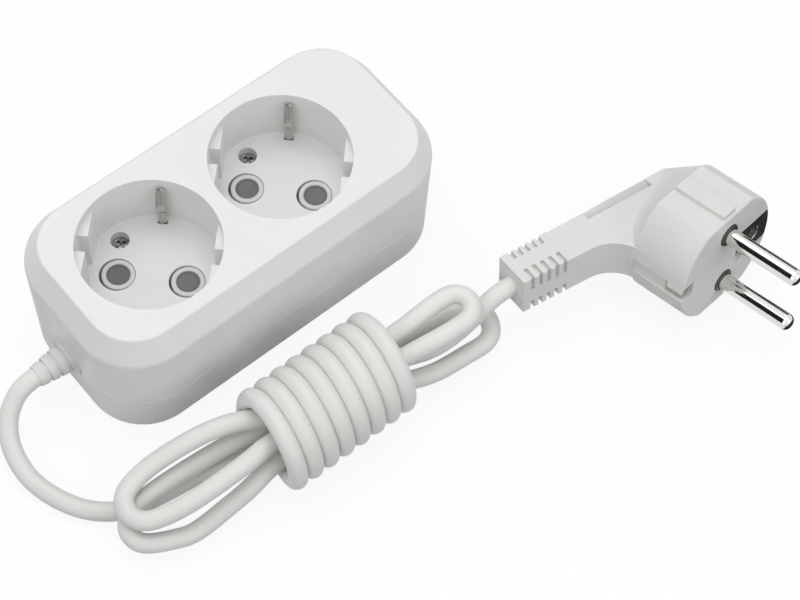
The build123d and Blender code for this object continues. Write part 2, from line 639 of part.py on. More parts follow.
def grip_slots():
    """Short cuts across the long neck edges near the cord."""
    front = neck_line(NECK_SIDE[2], NECK_SIDE[3])
    back = neck_line(NECK_SIDE[1], NECK_SIDE[0])
    half = GRIP_WIDTH / 2
    open_y = NECK_HALF + OVER
    cuts = []
    for index in range(GRIP_COUNT):
        span = (GRIP_FIRST + index * GRIP_PITCH - half, GRIP_FIRST + index * GRIP_PITCH + half)
        for side, reach in ((-1, GRIP_LONG), (1, GRIP_SHORT)):
            across = sorted((side * (NECK_HALF - reach), side * open_y))
            skin = sorted((side * (NECK_HALF - GRIP_DEPTH), side * open_y))
            cuts.append((front, span, (-GRIP_DEPTH, OVER), across))
            cuts.append((front, span, (-GRIP_OVER, OVER), skin))
            cuts.append((back, span, (-OVER, GRIP_OVER), skin))
    return cuts


def make_plug_body():
    """Angled plug: round front with two flats, hood behind it and a swept neck to the cord."""
    rear = Plane.XY.offset(-DRUM_DEPTH)
    tilt = math.radians(BACK_DEG)
    back_x_dir = (math.cos(tilt), 0, -math.sin(tilt))
    back = Plane(origin=(BACK_X, 0, BACK_Z), x_dir=back_x_dir, z_dir=(math.sin(tilt), 0, math.cos(tilt)))
    drum = extrude(drum_section(rear, DRUM_R, DRUM_FLAT), DRUM_DEPTH)
    drum = fillet(drum.edges().group_by(Axis.Z)[-1], DRUM_EDGE_R)
    hood = loft([drum_section(back, BACK_R, BACK_FLAT), drum_section(rear, DRUM_R, DRUM_FLAT)])
    side = Polygon(*NECK_SIDE, align=None)
    bend = side.vertices().sort_by_distance(Vector(*NECK_SIDE[3]))[0]
    neck = extrude(Plane.XZ * fillet(bend, NECK_BEND_R), NECK_HALF, both=True)
    long_edges = [edge for edge in neck.edges() if math.isclose(abs(edge.center().Y), NECK_HALF, abs_tol=SEAT)]
    neck = fillet([edge for edge in long_edges if edge.center().Z < NECK_SIDE[0][1]], NECK_EDGE_R)
    body = drum + hood + neck
    for turn in (-1, 1):
        rib_y = sorted((turn * (DRUM_FLAT - OVER), turn * RIB_CREST))
        body += block((-RIB_WIDTH / 2, RIB_WIDTH / 2), rib_y, (-RIB_RUN, -DRUM_EDGE_R))
    step = neck_line(NECK_SIDE[1], NECK_SIDE[0])
    step_low = NECK_SIDE[1][0] - STEP_SPAN[1]
    step_high = NECK_SIDE[1][0] - STEP_SPAN[0]
    for turn in (-1, 1):
        across = sorted((turn * (BACK_FLAT - STEP_DEPTH), turn * BACK_R))
        body -= place_on(step, (step_low, step_high), (-OVER, STEP_WIDTH), across)
    for cut in grip_slots():
        body -= place_on(*cut)
    for turn in (-1, 1):
        body -= post(0, turn * PIN_OFF, (-PLUG_PIN_ROOT, OVER), PLUG_ROOT_R + SEAT)
        body -= post(0, turn * PIN_OFF, (-PLUG_COLLAR_DEPTH, OVER), PLUG_COLLAR_R + SEAT)
    rim = DRUM_R + OVER
    for turn in (-1, 1):
        window = sorted((turn * GROOVE_FLOOR, turn * rim))
        groove = sorted((turn * (DRUM_R - GROOVE_SHALLOW), turn * rim))
        body -= block(window, (-GROOVE_HALF, GROOVE_HALF), (-CONTACT_RUN, OVER))
        body -= block(groove, (-GROOVE_HALF, GROOVE_HALF), (-GROOVE_RUN, OVER))
    body -= block((-rim, -EARTH_START), (-EARTH_HALF, EARTH_HALF), (-EARTH_DEPTH, OVER))
    body -= post(EARTH_HOLE_AT, 0, (BRACKET_BACK + BRACKET_THICK + OVER, 0), EARTH_HOLE_R)
    body -= earth_bracket_local(SEAT)
    middle, outward = neck_end()
    socket = Plane(origin=middle - outward * TAIL_GRIP, z_dir=outward)
    body -= extrude(socket * Circle(CORD_R + SEAT), 2 * TAIL_GRIP)
    return PLUG.location * body


def place_on(plane, along, out, across):
    """Block on a neck edge line: along it, out of it and across the plug."""
    size = (along[1] - along[0], out[1] - out[0], across[1] - across[0])
    middle = ((along[0] + along[1]) / 2, (out[0] + out[1]) / 2, -(across[0] + across[1]) / 2)
    return plane.location * Pos(*middle) * Box(*size)


def earth_bracket_local(gap):
    """Bent metal strip: two side legs, a bridge behind the pins and a plate with the earth hole."""
    half = BRACKET_HALF + gap
    plate_half = BRACKET_PLATE_HALF + gap
    thick = BRACKET_THICK
    inner = BRACKET_OUT - thick
    plate_z = -EARTH_DEPTH
    bridge_z = (BRACKET_BACK - gap, BRACKET_BACK + thick + gap)
    bridge = block((-BRACKET_OUT, BRACKET_OUT), (-half, half), bridge_z)
    right = block((inner, BRACKET_OUT), (-half, half), (BRACKET_BACK, BRACKET_FRONT))
    left = block((-BRACKET_OUT, -inner), (-half, half), (BRACKET_BACK, plate_z))
    plate = block((-BRACKET_OUT, -EARTH_START), (-plate_half, plate_half), (plate_z - thick - gap, plate_z))
    return bridge + right + left + plate


def make_earth_bracket():
    """Earth contact of the plug with its pin hole."""
    hole = post(EARTH_HOLE_AT, 0, (-EARTH_DEPTH - BRACKET_THICK - OVER, 0), EARTH_HOLE_R)
    return PLUG.location * (earth_bracket_local(0) - hole)


def make_plug_pin(side):
    """Round pin with a rounded tip and a thinner root in the plug."""
    pin = post(0, side * PIN_OFF, (PLUG_COLLAR_RISE, PLUG_PIN_LENGTH), PLUG_PIN_R)
    pin = fillet(pin.edges().group_by(Axis.Z)[-1], PLUG_PIN_TIP_R)
    return PLUG.location * (pin + post(0, side * PIN_OFF, (-PLUG_PIN_ROOT, PLUG_COLLAR_RISE), PLUG_ROOT_R))


def make_plug_collar(side):
    """Insulating ring round the root of one plug pin."""
    span = (-PLUG_COLLAR_DEPTH, PLUG_COLLAR_RISE)
    ring = post(0, side * PIN_OFF, span, PLUG_COLLAR_R) - post(0, side * PIN_OFF, span, PLUG_ROOT_R + SEAT)
    return PLUG.location * ring


def tail_route():
    """Cord from the bundle to the plug, straight where it enters the neck."""
    middle, outward = neck_end()
    outside = PLUG.from_local_coords(middle + outward * TAIL_STRAIGHT)
    inside = PLUG.from_local_coords(middle - outward * TAIL_GRIP)
    bound = in_plane(BINDING, TAIL_FIRST) + in_plane(BUNDLE, TAIL_NEXT)
    return bound + [tuple(outside), tuple(inside)]


parts = {
    "top_cover": make_top_cover(),
    "base_cover": make_base_cover(),
    "line_rail": make_rail(-1),
    "neutral_rail": make_rail(1),
    "earth_link": make_earth_link(),
    "cover_screws": make_cover_screws(),
    "cable_clamp": make_cable_clamp(),
    "clamp_screws": make_clamp_screws(),
    "cord_inner": along_x((SLEEVE_TIP_X, CORD_INNER_END_X), CORD_Z, CORD_R),
    "strain_relief": make_strain_relief(),
    "plug_body": make_plug_body(),
    "plug_pin_line": make_plug_pin(1),
    "plug_pin_neutral": make_plug_pin(-1),
    "plug_pin_collar_line": make_plug_collar(1),
    "plug_pin_collar_neutral": make_plug_collar(-1),
    "plug_earth_bracket": make_earth_bracket(),
}
for number, socket_x in enumerate(SOCKETS_X, start=1):
    parts["contact_block_%d" % number] = make_contact_block(socket_x)
    parts["earth_clip_%d" % number] = make_earth_clip(socket_x)
    for offset, pin_side in enumerate((-1, 1)):
        place = 2 * number - 1 + offset
        parts["pin_collar_%d" % place] = make_pin_collar(socket_x, pin_side)
print("internal wires")
parts.update(make_wires())
print("lead")
parts["cord_lead"] = tube(lead_route(), CORD_R)
print("bundle")
parts["cord_hank"] = make_cord_hank()
print("tail")
parts["cord_tail"] = tube(tail_route(), CORD_R)

os.makedirs("parts", exist_ok=True)
for name, solid in parts.items():
    export_step(solid, os.path.join("parts", name + ".step"))
    box = solid.bounding_box()
    sizes = (name, solid.volume, box.min.Z, box.max.Z, len(solid.solids()))
    print("%-24s volume %9.1f  z %6.2f to %6.2f  solids %d" % sizes)
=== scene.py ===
# %% [markdown]
# Two-way earthed extension block, its cord bound by its own turns, and an angled plug.
# The imported CAD model comes in first as a fixed frame, in metres.

# %% Load the frame
import json
import math

import bmesh
import bpy
import numpy as np
from mathutils import Matrix, Vector


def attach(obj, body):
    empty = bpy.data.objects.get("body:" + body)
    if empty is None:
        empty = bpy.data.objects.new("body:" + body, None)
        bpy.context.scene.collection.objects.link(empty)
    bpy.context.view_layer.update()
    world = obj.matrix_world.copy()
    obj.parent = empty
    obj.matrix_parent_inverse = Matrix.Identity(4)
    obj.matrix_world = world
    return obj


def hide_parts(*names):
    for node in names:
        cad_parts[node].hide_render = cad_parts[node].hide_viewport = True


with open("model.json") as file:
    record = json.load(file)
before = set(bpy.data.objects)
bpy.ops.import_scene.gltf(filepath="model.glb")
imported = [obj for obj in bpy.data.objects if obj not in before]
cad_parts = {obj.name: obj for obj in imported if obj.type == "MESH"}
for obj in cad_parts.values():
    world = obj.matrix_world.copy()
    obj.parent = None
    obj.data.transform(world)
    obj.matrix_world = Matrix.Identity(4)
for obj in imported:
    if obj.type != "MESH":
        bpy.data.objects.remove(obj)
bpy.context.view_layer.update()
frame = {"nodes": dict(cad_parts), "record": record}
MM = 0.001

# %% [markdown]
# The photograph looks down on the block from its cord end with a long lens. Its camera was fitted
# to the edges of the housing and to both wells, so the same place, aim and lens are set here.
# The three rows below are the picture's right, down and forward directions in the block's frame.

# %% Camera
CAMERA_PLACE = (-176.643, -257.403, 548.779)
CAMERA_RIGHT = (0.76991, -0.63725, 0.03393)
CAMERA_DOWN = (-0.54628, -0.68562, -0.48114)
CAMERA_FORWARD = (0.32987, 0.35190, -0.87599)
FOCAL_PIXELS = 2218.455
PICTURE_WIDTH = 800
SENSOR_MM = 36.0

camera = bpy.data.objects.new("camera", bpy.data.cameras.new("camera"))
bpy.context.scene.collection.objects.link(camera)
aim = np.eye(4)
aim[:3, 0] = CAMERA_RIGHT
aim[:3, 1] = -np.array(CAMERA_DOWN)
aim[:3, 2] = -np.array(CAMERA_FORWARD)
aim[:3, 3] = np.array(CAMERA_PLACE) * MM
camera.matrix_world = Matrix(aim.tolist())
camera.data.sensor_width = SENSOR_MM
camera.data.lens = FOCAL_PIXELS * SENSOR_MM / PICTURE_WIDTH
bpy.context.scene.camera = camera
bpy.context.scene.view_settings.view_transform = "Standard"
print("camera lens %.1f mm" % camera.data.lens)

# %% [markdown]
# A finish is a small tree of shader nodes. These helpers add one node at a time and join sockets,
# so that each finish below reads as a short list. Patterns use Object coordinates: every piece has
# its place in its mesh, so one millimetre of pattern is one millimetre of the object.

# %% Node helpers


def new_finish(name):
    """Empty material with its shader; gives the material, its nodes and the shader node."""
    finish = bpy.data.materials.new(name)
    finish.use_nodes = True
    nodes = finish.node_tree.nodes
    return finish, nodes, nodes["Principled BSDF"]


def add_node(nodes, kind, **values):
    """One node of a kind, with its named sockets or settings set."""
    node = nodes.new(kind)
    for key, value in values.items():
        if key in node.inputs:
            node.inputs[key].default_value = value
        else:
            setattr(node, key, value)
    return node


def join(nodes, out_socket, in_socket):
    """Link from one socket to another in the tree that holds the nodes."""
    nodes.id_data.links.new(out_socket, in_socket)


NOISE_SPAN = (0.35, 0.65)


def shade_range(nodes, source, low, high):
    """Number that runs from low to high while the source runs over the noise span."""
    node = nodes.new("ShaderNodeMapRange")
    sockets = ("From Min", "From Max", "To Min", "To Max")
    for socket, value in zip(sockets, (*NOISE_SPAN, low, high)):
        node.inputs[socket].default_value = value
    join(nodes, source, node.inputs["Value"])
    return node.outputs["Result"]


def colour_between(nodes, source, first, second):
    """Colour that runs from first to second while the source runs over the noise span."""
    ramp = nodes.new("ShaderNodeValToRGB")
    for element, position, colour in zip(ramp.color_ramp.elements, NOISE_SPAN, (first, second)):
        element.position = position
        element.color = (*colour, 1)
    join(nodes, source, ramp.inputs["Fac"])
    return ramp.outputs["Color"]


def noise(nodes, coordinates, features_per_metre, detail=3.0):
    """Cloudy pattern with about that many features in a metre."""
    node = add_node(nodes, "ShaderNodeTexNoise", Scale=features_per_metre, Detail=detail)
    join(nodes, coordinates, node.inputs["Vector"])
    return node.outputs["Fac"]


def bumped(nodes, shader, height, depth):
    """Raises the shader's surface by height times depth, in metres."""
    bump = add_node(nodes, "ShaderNodeBump", Distance=depth, Strength=1.0)
    join(nodes, height, bump.inputs["Height"])
    join(nodes, bump.outputs["Normal"], shader.inputs["Normal"])


print("helpers ready")

# %% [markdown]
# The housing, the plug, the cord and the rings in the wells are white plastics. Each has a slow
# cloudiness in its colour, a patchy sheen and a very fine eroded grain from its mould, and they differ
# in tint. A single grey-white colour would look like paint, so colour, roughness and bump each follow
# their own noise. The grey, black and wire plastics are made in the same way, and the grey one's darkness is
# painted shade for the pin holes.

# %% Plastics
CLOUDS_PER_METRE = 35.0
SHEEN_PATCHES_PER_METRE = 160.0


def moulded_plastic(name, light, dark, sheen, grain_per_metre, grain_depth):
    """Plastic with cloudy colour from dark to light, roughness over sheen and a fine grain."""
    finish, nodes, shader = new_finish(name)
    place = nodes.new("ShaderNodeTexCoord").outputs["Object"]
    clouds = noise(nodes, place, CLOUDS_PER_METRE, detail=4.0)
    patches = noise(nodes, place, SHEEN_PATCHES_PER_METRE)
    grain = noise(nodes, place, grain_per_metre, detail=2.0)
    join(nodes, colour_between(nodes, clouds, dark, light), shader.inputs["Base Color"])
    join(nodes, shade_range(nodes, patches, *sheen), shader.inputs["Roughness"])
    bumped(nodes, shader, grain, grain_depth)
    return finish


HOUSING_WHITE = moulded_plastic(
    "housing moulding", (0.83, 0.83, 0.825), (0.805, 0.805, 0.80), (0.38, 0.50), 2600.0, 0.00002)
PLUG_WHITE = moulded_plastic(
    "plug moulding", (0.77, 0.77, 0.755), (0.74, 0.74, 0.725), (0.42, 0.55), 2200.0, 0.00002)
JACKET_WHITE = moulded_plastic(
    "cord jacket", (0.80, 0.80, 0.78), (0.765, 0.765, 0.745), (0.36, 0.50), 1500.0, 0.00003)
RING_WHITE = moulded_plastic(
    "pin ring moulding", (0.70, 0.70, 0.695), (0.67, 0.67, 0.665), (0.40, 0.52), 2200.0, 0.00002)
# The pin guides are real parts, but their dark grey is painted shade that makes the pin holes look dark deep
# inside.
PIN_HOLE_PAINTED_SHADE = moulded_plastic(
    "pin guide painted shade", (0.16, 0.16, 0.16), (0.14, 0.14, 0.14), (0.45, 0.60), 1800.0, 0.00002)
COLLAR_BLACK = moulded_plastic(
    "pin collar moulding", (0.045, 0.045, 0.045), (0.03, 0.03, 0.03), (0.40, 0.55), 1800.0, 0.00002)
WIRE_BROWN = moulded_plastic(
    "brown core", (0.25, 0.12, 0.06), (0.21, 0.10, 0.05), (0.40, 0.55), 1500.0, 0.00002)
WIRE_BLUE = moulded_plastic(
    "blue core", (0.06, 0.14, 0.42), (0.05, 0.12, 0.36), (0.40, 0.55), 1500.0, 0.00002)
WIRE_GREEN = moulded_plastic(
    "green core", (0.25, 0.45, 0.08), (0.21, 0.38, 0.07), (0.40, 0.55), 1500.0, 0.00002)
print("plastics ready")

# %% [markdown]
# The metals are plated pins, spring strips, screws and brass rails. A turned or drawn metal has
# fine lines along one direction. A Mapping node turns and squeezes the coordinates, so that plain
# noise becomes long streaks, and the streaks change the roughness and the bump a little.

# %% Metals
STREAKS_PER_METRE = 1000.0
NO_TURN = (0, 0, 0)


def drawn_metal(name, light, dark, sheen, turn, squeeze, depth):
    """Metal with streaks: coordinates turned by turn and scaled by squeeze feed the noise."""
    finish, nodes, shader = new_finish(name)
    shader.inputs["Metallic"].default_value = 1.0
    place = nodes.new("ShaderNodeTexCoord").outputs["Object"]
    mapping = add_node(nodes, "ShaderNodeMapping", Rotation=turn, Scale=squeeze)
    join(nodes, place, mapping.inputs["Vector"])
    streaks = noise(nodes, mapping.outputs["Vector"], STREAKS_PER_METRE)
    join(nodes, colour_between(nodes, streaks, dark, light), shader.inputs["Base Color"])
    join(nodes, shade_range(nodes, streaks, *sheen), shader.inputs["Roughness"])
    bumped(nodes, shader, streaks, depth)
    return finish


PLUG_PIN_AXIS = Vector((0.127, -0.978, 0.164)).normalized()
PLUG_NECK_AXIS = Vector((-0.989, -0.111, 0.099))
PLUG_NECK_AXIS = (PLUG_NECK_AXIS - PLUG_PIN_AXIS * PLUG_NECK_AXIS.dot(PLUG_PIN_AXIS)).normalized()
PLUG_SIDE_AXIS = PLUG_PIN_AXIS.cross(PLUG_NECK_AXIS)
PLUG_FACE = Vector((100.97, -91.28, 20.99))
plug_turn = Matrix((PLUG_NECK_AXIS, PLUG_SIDE_AXIS, PLUG_PIN_AXIS)).to_euler()

PIN_CHROME = drawn_metal(
    "plated pin", (0.78, 0.77, 0.75), (0.72, 0.71, 0.69), (0.06, 0.12),
    plug_turn, (0.15, 0.15, 4.0), 0.0000008)
SPRING_STEEL = drawn_metal(
    "spring strip", (0.56, 0.56, 0.53), (0.50, 0.50, 0.47), (0.16, 0.26),
    NO_TURN, (3.0, 3.0, 0.2), 0.0000008)
SCREW_STEEL = drawn_metal(
    "screw", (0.58, 0.58, 0.56), (0.46, 0.46, 0.45), (0.18, 0.30),
    NO_TURN, (1.0, 1.0, 1.0), 0.000002)
CONTACT_BRASS = drawn_metal(
    "contact strip", (0.78, 0.62, 0.30), (0.70, 0.54, 0.25), (0.25, 0.40),
    NO_TURN, (0.2, 3.0, 3.0), 0.000005)
print("metals ready")

# %% [markdown]
# The CAD nodes keep their shapes and take these finishes by the material slot that the packed
# record gives each of them.

# %% Dress the CAD nodes
FINISHES = {
    "housing_white": HOUSING_WHITE, "plug_white": PLUG_WHITE, "cord_white": JACKET_WHITE,
    "guide_grey": PIN_HOLE_PAINTED_SHADE, "collar_black": COLLAR_BLACK, "contact_brass": CONTACT_BRASS,
    "pin_chrome": PIN_CHROME, "spring_steel": SPRING_STEEL, "screw_steel": SCREW_STEEL,
    "wire_brown": WIRE_BROWN, "wire_blue": WIRE_BLUE, "wire_green": WIRE_GREEN,
}
for subpart in frame["record"]["subparts"]:
    mesh = frame["nodes"][subpart["node"]].data
    mesh.materials.clear()
    mesh.materials.append(FINISHES[subpart["material_slot"]])

# %% [markdown]
# A new piece is a set of rings of points worked out as one array, and neighbouring rings are joined
# by quads. A turned part is a profile of radius and height carried round an axis. Mesh functions
# take millimetres and write metres.

# %% Surface helpers
PLUG_AXES = np.array([PLUG_NECK_AXIS, PLUG_SIDE_AXIS, PLUG_PIN_AXIS])
ROW_AXES = np.eye(3)
JOIN_WITHIN = 1e-6


def plug_to_row(points):
    """Row positions of points given along the neck, to the side and out along the pins."""
    return np.array(PLUG_FACE) + np.asarray(points, float) @ PLUG_AXES


def merged(mesh):
    """The same mesh with doubled points joined and its faces turned outwards."""
    work = bmesh.new()
    work.from_mesh(mesh)
    bmesh.ops.remove_doubles(work, verts=work.verts, dist=JOIN_WITHIN)
    bmesh.ops.recalc_face_normals(work, faces=work.faces)
    work.to_mesh(mesh)
    work.free()
    return mesh


def ring_mesh(name, solids, ends=True):
    """One mesh from solids of rings x points x 3: quads join rings, flat faces close the ends."""
    spots, faces, first = [], [], 0
    for rings in solids:
        rows, columns = rings.shape[:2]
        row, column = np.meshgrid(np.arange(rows - 1), np.arange(columns), indexing="ij")
        after = (column + 1) % columns
        low, high = first + row * columns, first + (row + 1) * columns
        quads = np.stack([low + column, low + after, high + after, high + column], axis=-1)
        faces += quads.reshape(-1, 4).tolist()
        if ends:
            faces.append(np.arange(first, first + columns)[::-1].tolist())
            faces.append(np.arange(first + (rows - 1) * columns, first + rows * columns).tolist())
        spots.append(rings.reshape(-1, 3) * MM)
        first += rows * columns
    mesh = bpy.data.meshes.new(name)
    mesh.from_pydata(np.vstack(spots).tolist(), [], faces)
    return merged(mesh)


def turned(profile, place, axes=ROW_AXES, sides=64):
    """Rings of a turned part: each radius and height of the profile makes one circle on the axis."""
    radius, height = np.array(profile, float).T
    angle = np.arange(sides) * 2 * math.pi / sides
    circle = np.outer(np.cos(angle), axes[0]) + np.outer(np.sin(angle), axes[1])
    return np.array(place) + radius[:, None, None] * circle + height[:, None, None] * axes[2]


def add_piece(name, mesh, finish, slot, *nodes, crease=35.0):
    """Object with a finish that rides on the root body and stands for the named CAD nodes."""
    mesh.materials.clear()
    mesh.materials.append(finish)
    mesh.shade_smooth()
    mesh.set_sharp_from_angle(angle=math.radians(crease))
    piece = bpy.data.objects.new(name, mesh)
    bpy.context.scene.collection.objects.link(piece)
    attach(piece, "root")
    if nodes:
        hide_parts(*nodes)


print("surface helpers ready")

# %% [markdown]
# Each pin hole has a white ring with softened edges. Just below it a grey disc is painted shade, which
# stands in for the shadow deep in the hole. Both are turned parts. The solids leave the discs out, because a
# plug's pin has to reach its contact.

# %% Pin rings and painted shade discs
SOCKETS_X = (-27.05, 16.85)
PIN_STEP = 6.7175
RING_PROFILE = [
    (3.27, 21.8), (4.6, 21.8), (4.6, 24.3), (4.54, 24.47), (4.4, 24.56), (4.2, 24.6), (3.62, 24.6),
    (3.45, 24.57), (3.33, 24.49), (3.27, 24.35), (3.27, 21.8),
]
SHADE_DISC_PROFILE = [
    (0.3, 23.2), (2.78, 23.2), (2.78, 24.15), (2.7, 24.23), (2.2, 24.18), (1.2, 24.06), (0.3, 24.02),
]
hole = 0
for socket_x in SOCKETS_X:
    for side in (-1, 1):
        hole += 1
        place = (socket_x + side * PIN_STEP, -side * PIN_STEP, 0.0)
        ring = ring_mesh("pin_ring_%d" % hole, [turned(RING_PROFILE, place)], ends=False)
        add_piece("pin_ring_%d" % hole, ring, RING_WHITE, "housing_white", "pin_collar_%d" % hole)
        # The grey disc below each ring is painted shade for the open hole.
        shade_disc = ring_mesh("pin_shade_disc_%d" % hole, [turned(SHADE_DISC_PROFILE, place)])
        add_piece("pin_shade_disc_%d" % hole, shade_disc, PIN_HOLE_PAINTED_SHADE, "guide_grey")
print(hole, "rings and painted shade discs made")

# %% [markdown]
# An earth spring is one strip that runs under the block and stands up at both sides of a well. The
# solid has square tips, and the real strip is rounded there and slightly crowned, so it is made
# again: a section of the strip is carried along the smoothed path and narrows at both ends.

# %% Earth springs
SPRING_PATH = [(19.0, 40.0), (16.2, 33.8), (17.75, 29.6), (17.75, 19.55)]
SPRING_HALF = 1.2
SPRING_THICK = 0.5
SPRING_CROWN = 0.22
SPRING_STEP = 0.2
SPRING_SOFT = 15
SPRING_TIP = 0.002
SPRING_TURN = math.sqrt(0.5)


def spring_rings(socket_x, columns=9):
    """Rings along the path: half width times the height of a quarter circle near each end.

    The path is sampled evenly and each point is the mean of its neighbours, which rounds the
    bends. Across the strip the middle is raised by one less the square of the place across. The
    strip stands at right angles to the slanted line of the pins, an eighth of a turn round.
    """
    half = np.array(SPRING_PATH)
    line = np.vstack([half, half[::-1] * (-1, 1)])
    far = np.concatenate([[0.0], np.cumsum(np.linalg.norm(np.diff(line, axis=0), axis=1))])
    place = np.arange(0.0, far[-1], SPRING_STEP)
    spots = np.stack([np.interp(place, far, line[:, axis]) for axis in (0, 1)], axis=1)
    margin = SPRING_SOFT // 2
    padded = np.pad(spots, ((margin, margin), (0, 0)), mode="reflect", reflect_type="odd")
    soft = np.ones(SPRING_SOFT) / SPRING_SOFT
    middle = np.stack([np.convolve(padded[:, axis], soft, "valid") for axis in (0, 1)], axis=1)
    run = np.gradient(middle, axis=0)
    run /= np.linalg.norm(run, axis=1)[:, None]
    outward = np.stack([-run[:, 1], run[:, 0]], axis=1)
    to_end = np.clip(np.minimum(place, place[-1] - place) / SPRING_HALF, SPRING_TIP, 1.0)
    width = SPRING_HALF * np.sqrt(1 - (1 - to_end) ** 2)
    share = np.linspace(-1, 1, columns)
    share = np.concatenate([share, share[::-1]])
    face = np.repeat((-0.5, 0.5), columns) * SPRING_THICK - SPRING_CROWN * (1 - share ** 2)
    across = width[:, None] * share
    spots = middle[:, None] + outward[:, None] * face[:, None]
    x = socket_x + SPRING_TURN * (spots[..., 0] + across)
    y = SPRING_TURN * (spots[..., 0] - across)
    return np.stack([x, y, spots[..., 1]], axis=-1)


for index, socket_x in enumerate(SOCKETS_X, 1):
    name = "earth_spring_%d" % index
    spring = ring_mesh(name, [spring_rings(socket_x)])
    add_piece(name, spring, SPRING_STEEL, "spring_steel", "earth_clip_%d" % index)
print("two earth springs of", len(spring.vertices), "points each")

# %% [markdown]
# A cover screw sits deep in each well floor. Its head is a height field on a polar grid: a low dome
# that drops into a cross where either coordinate is small, with steep soft walls. Rings for the
# head's side and the shank follow the last ring of the grid.

# %% Cover screws
SCREW_Y = 15.2
HEAD_R = 2.5
HEAD_TOP = 22.0
HEAD_SEAT = 20.0
HEAD_DOME = 0.45
HEAD_INNER_R = 0.04
HEAD_RINGS = 40
CROSS_HALF = 0.46
CROSS_WALL_IN = 0.12
CROSS_WALL_OUT = 0.04
CROSS_DEEP_TO = 1.2
CROSS_REACH = 1.95
CROSS_DEPTH = 1.3
SHANK_R = 1.45
SHANK_END = 5.0


def soft_step(value, low, high):
    """Nought below low and one above high, with a smooth rise between."""
    share = np.clip((value - low) / (high - low), 0.0, 1.0)
    return share * share * (3 - 2 * share)


def cross_screw_rings(x, y, sides=96):
    """Dome minus cross depth times a soft mask of the nearer arm's width and reach."""
    circles = np.linspace(HEAD_INNER_R, HEAD_R, HEAD_RINGS)
    radius, angle = np.meshgrid(circles, np.arange(sides) * 2 * math.pi / sides, indexing="ij")
    across, along = radius * np.cos(angle), radius * np.sin(angle)
    narrow = np.minimum(abs(across), abs(along))
    far = np.maximum(abs(across), abs(along))
    in_width = 1 - soft_step(narrow, CROSS_HALF - CROSS_WALL_IN, CROSS_HALF + CROSS_WALL_OUT)
    in_reach = 1 - soft_step(far, CROSS_DEEP_TO, CROSS_REACH)
    dome = HEAD_TOP - HEAD_DOME * (radius / HEAD_R) ** 2
    head = np.stack([x + across, y + along, dome - CROSS_DEPTH * (in_width * in_reach)], axis=-1)
    shank_profile = [(HEAD_R, HEAD_SEAT), (SHANK_R, HEAD_SEAT), (SHANK_R, SHANK_END)]
    shank = turned(shank_profile, (x, y, 0.0), sides=sides)
    return np.vstack([head, shank])


screws = ring_mesh("cover_screw_heads", [cross_screw_rings(x, SCREW_Y) for x in SOCKETS_X])
add_piece("cover_screw_heads", screws, SCREW_STEEL, "screw_steel", "cover_screws")
print("two screws of", len(screws.vertices), "points")

# %% [markdown]
# The plug's round front and neck are one moulding. Its new parts and its cutters are outlines in the
# plane of the neck and the pins, carried across the plug, and Boolean steps join them on or cut with
# them. Sculpting could give such shapes too, but outlines keep edges straight and sizes named.

# %% Plug outlines
DRUM_R = 19.3
DRUM_FLAT = 16.8
DRUM_REAR = -18.02
DRUM_AT_NECK = 18.28
NECK_HALF = 6.2
BLOCK_SUNK = 0.02
BLOCK_HALF = NECK_HALF - BLOCK_SUNK
# An edge of the neck: its start, its end and the sign of the turn from the edge to the inside.
BACK_EDGE = ((46.0, -42.8), (-7.6, -31.1), -1)
FRONT_EDGE = ((48.4, -31.6), (DRUM_AT_NECK, -24.1), 1)


def rectangle(first, second):
    """Four corners round a span of the first coordinate by a span of the second."""
    return [(first[0], second[0]), (first[1], second[0]), (first[1], second[1]), (first[0], second[1])]


def edge_outline(edge, along, inward):
    """Four corners of x and z by a neck edge: a stretch along it by a stretch inwards from it."""
    start, end = np.array(edge[:2])
    run = (end - start) / np.linalg.norm(end - start)
    into = edge[2] * np.array([-run[1], run[0]])
    return [start + run * far + into * deep for far, deep in rectangle(along, inward)]


def prism(outline, low, high):
    """Two rings: an outline of x and z at a low and a high side value, each one number or one a corner."""
    flat = np.array(outline, float)
    rings = [
        np.column_stack([flat[:, 0], np.broadcast_to(side, len(flat)), flat[:, 1]])
        for side in (low, high)
    ]
    return plug_to_row(np.stack(rings))


def carved(mesh, tool, operation):
    """Mesh after one exact Boolean step with a tool mesh."""
    body = bpy.data.objects.new("carved_body", mesh)
    cutter = bpy.data.objects.new("carving_tool", tool)
    for item in (body, cutter):
        bpy.context.scene.collection.objects.link(item)
    step = body.modifiers.new("step", "BOOLEAN")
    step.operation, step.object, step.solver, step.use_self = operation, cutter, "EXACT", True
    bpy.context.view_layer.update()
    result = bpy.data.meshes.new_from_object(body.evaluated_get(bpy.context.evaluated_depsgraph_get()))
    for item in (body, cutter):
        bpy.data.objects.remove(item)
    return result


print("plug outlines ready")

# %% [markdown]
# The hood slopes from the rear rim of the round front down to the flat neck. The photograph shows the
# flat neck running on to a slanted line, so the hood is made of curves from the rim to that line.
# Straight lines would meet the neck in a hard crease all along. Each curve falls by a power instead:
# above one where the hood runs out softly, and one from its corner on, where the crease is seen.

# %% Plug hood
HOOD_CORNER = (-10.0, -30.57)
HOOD_BOW = 5.0
BOW_TOWARDS = (0.407, -0.914)
CORNER_SHARE = 0.7
BASE_SHARES = (0, CORNER_SHARE, 1)
RIM_SHARES = (0, 0.3, CORNER_SHARE, 1)
RIM_ANGLES = (18.74, 60.5, 119.5, 161.26)
POWER_SHARES = (0, 0.3, 0.6, CORNER_SHARE, 1)
HOOD_POWERS = (1.4, 1.6, 1.3, 1.0, 1.0)
HOOD_ENDS = (0.01, 0.99)
HOOD_SUNK = 0.03
RIM_INSET = 0.999
INNER_SCALE = (0.97, 0.97, 0.95)


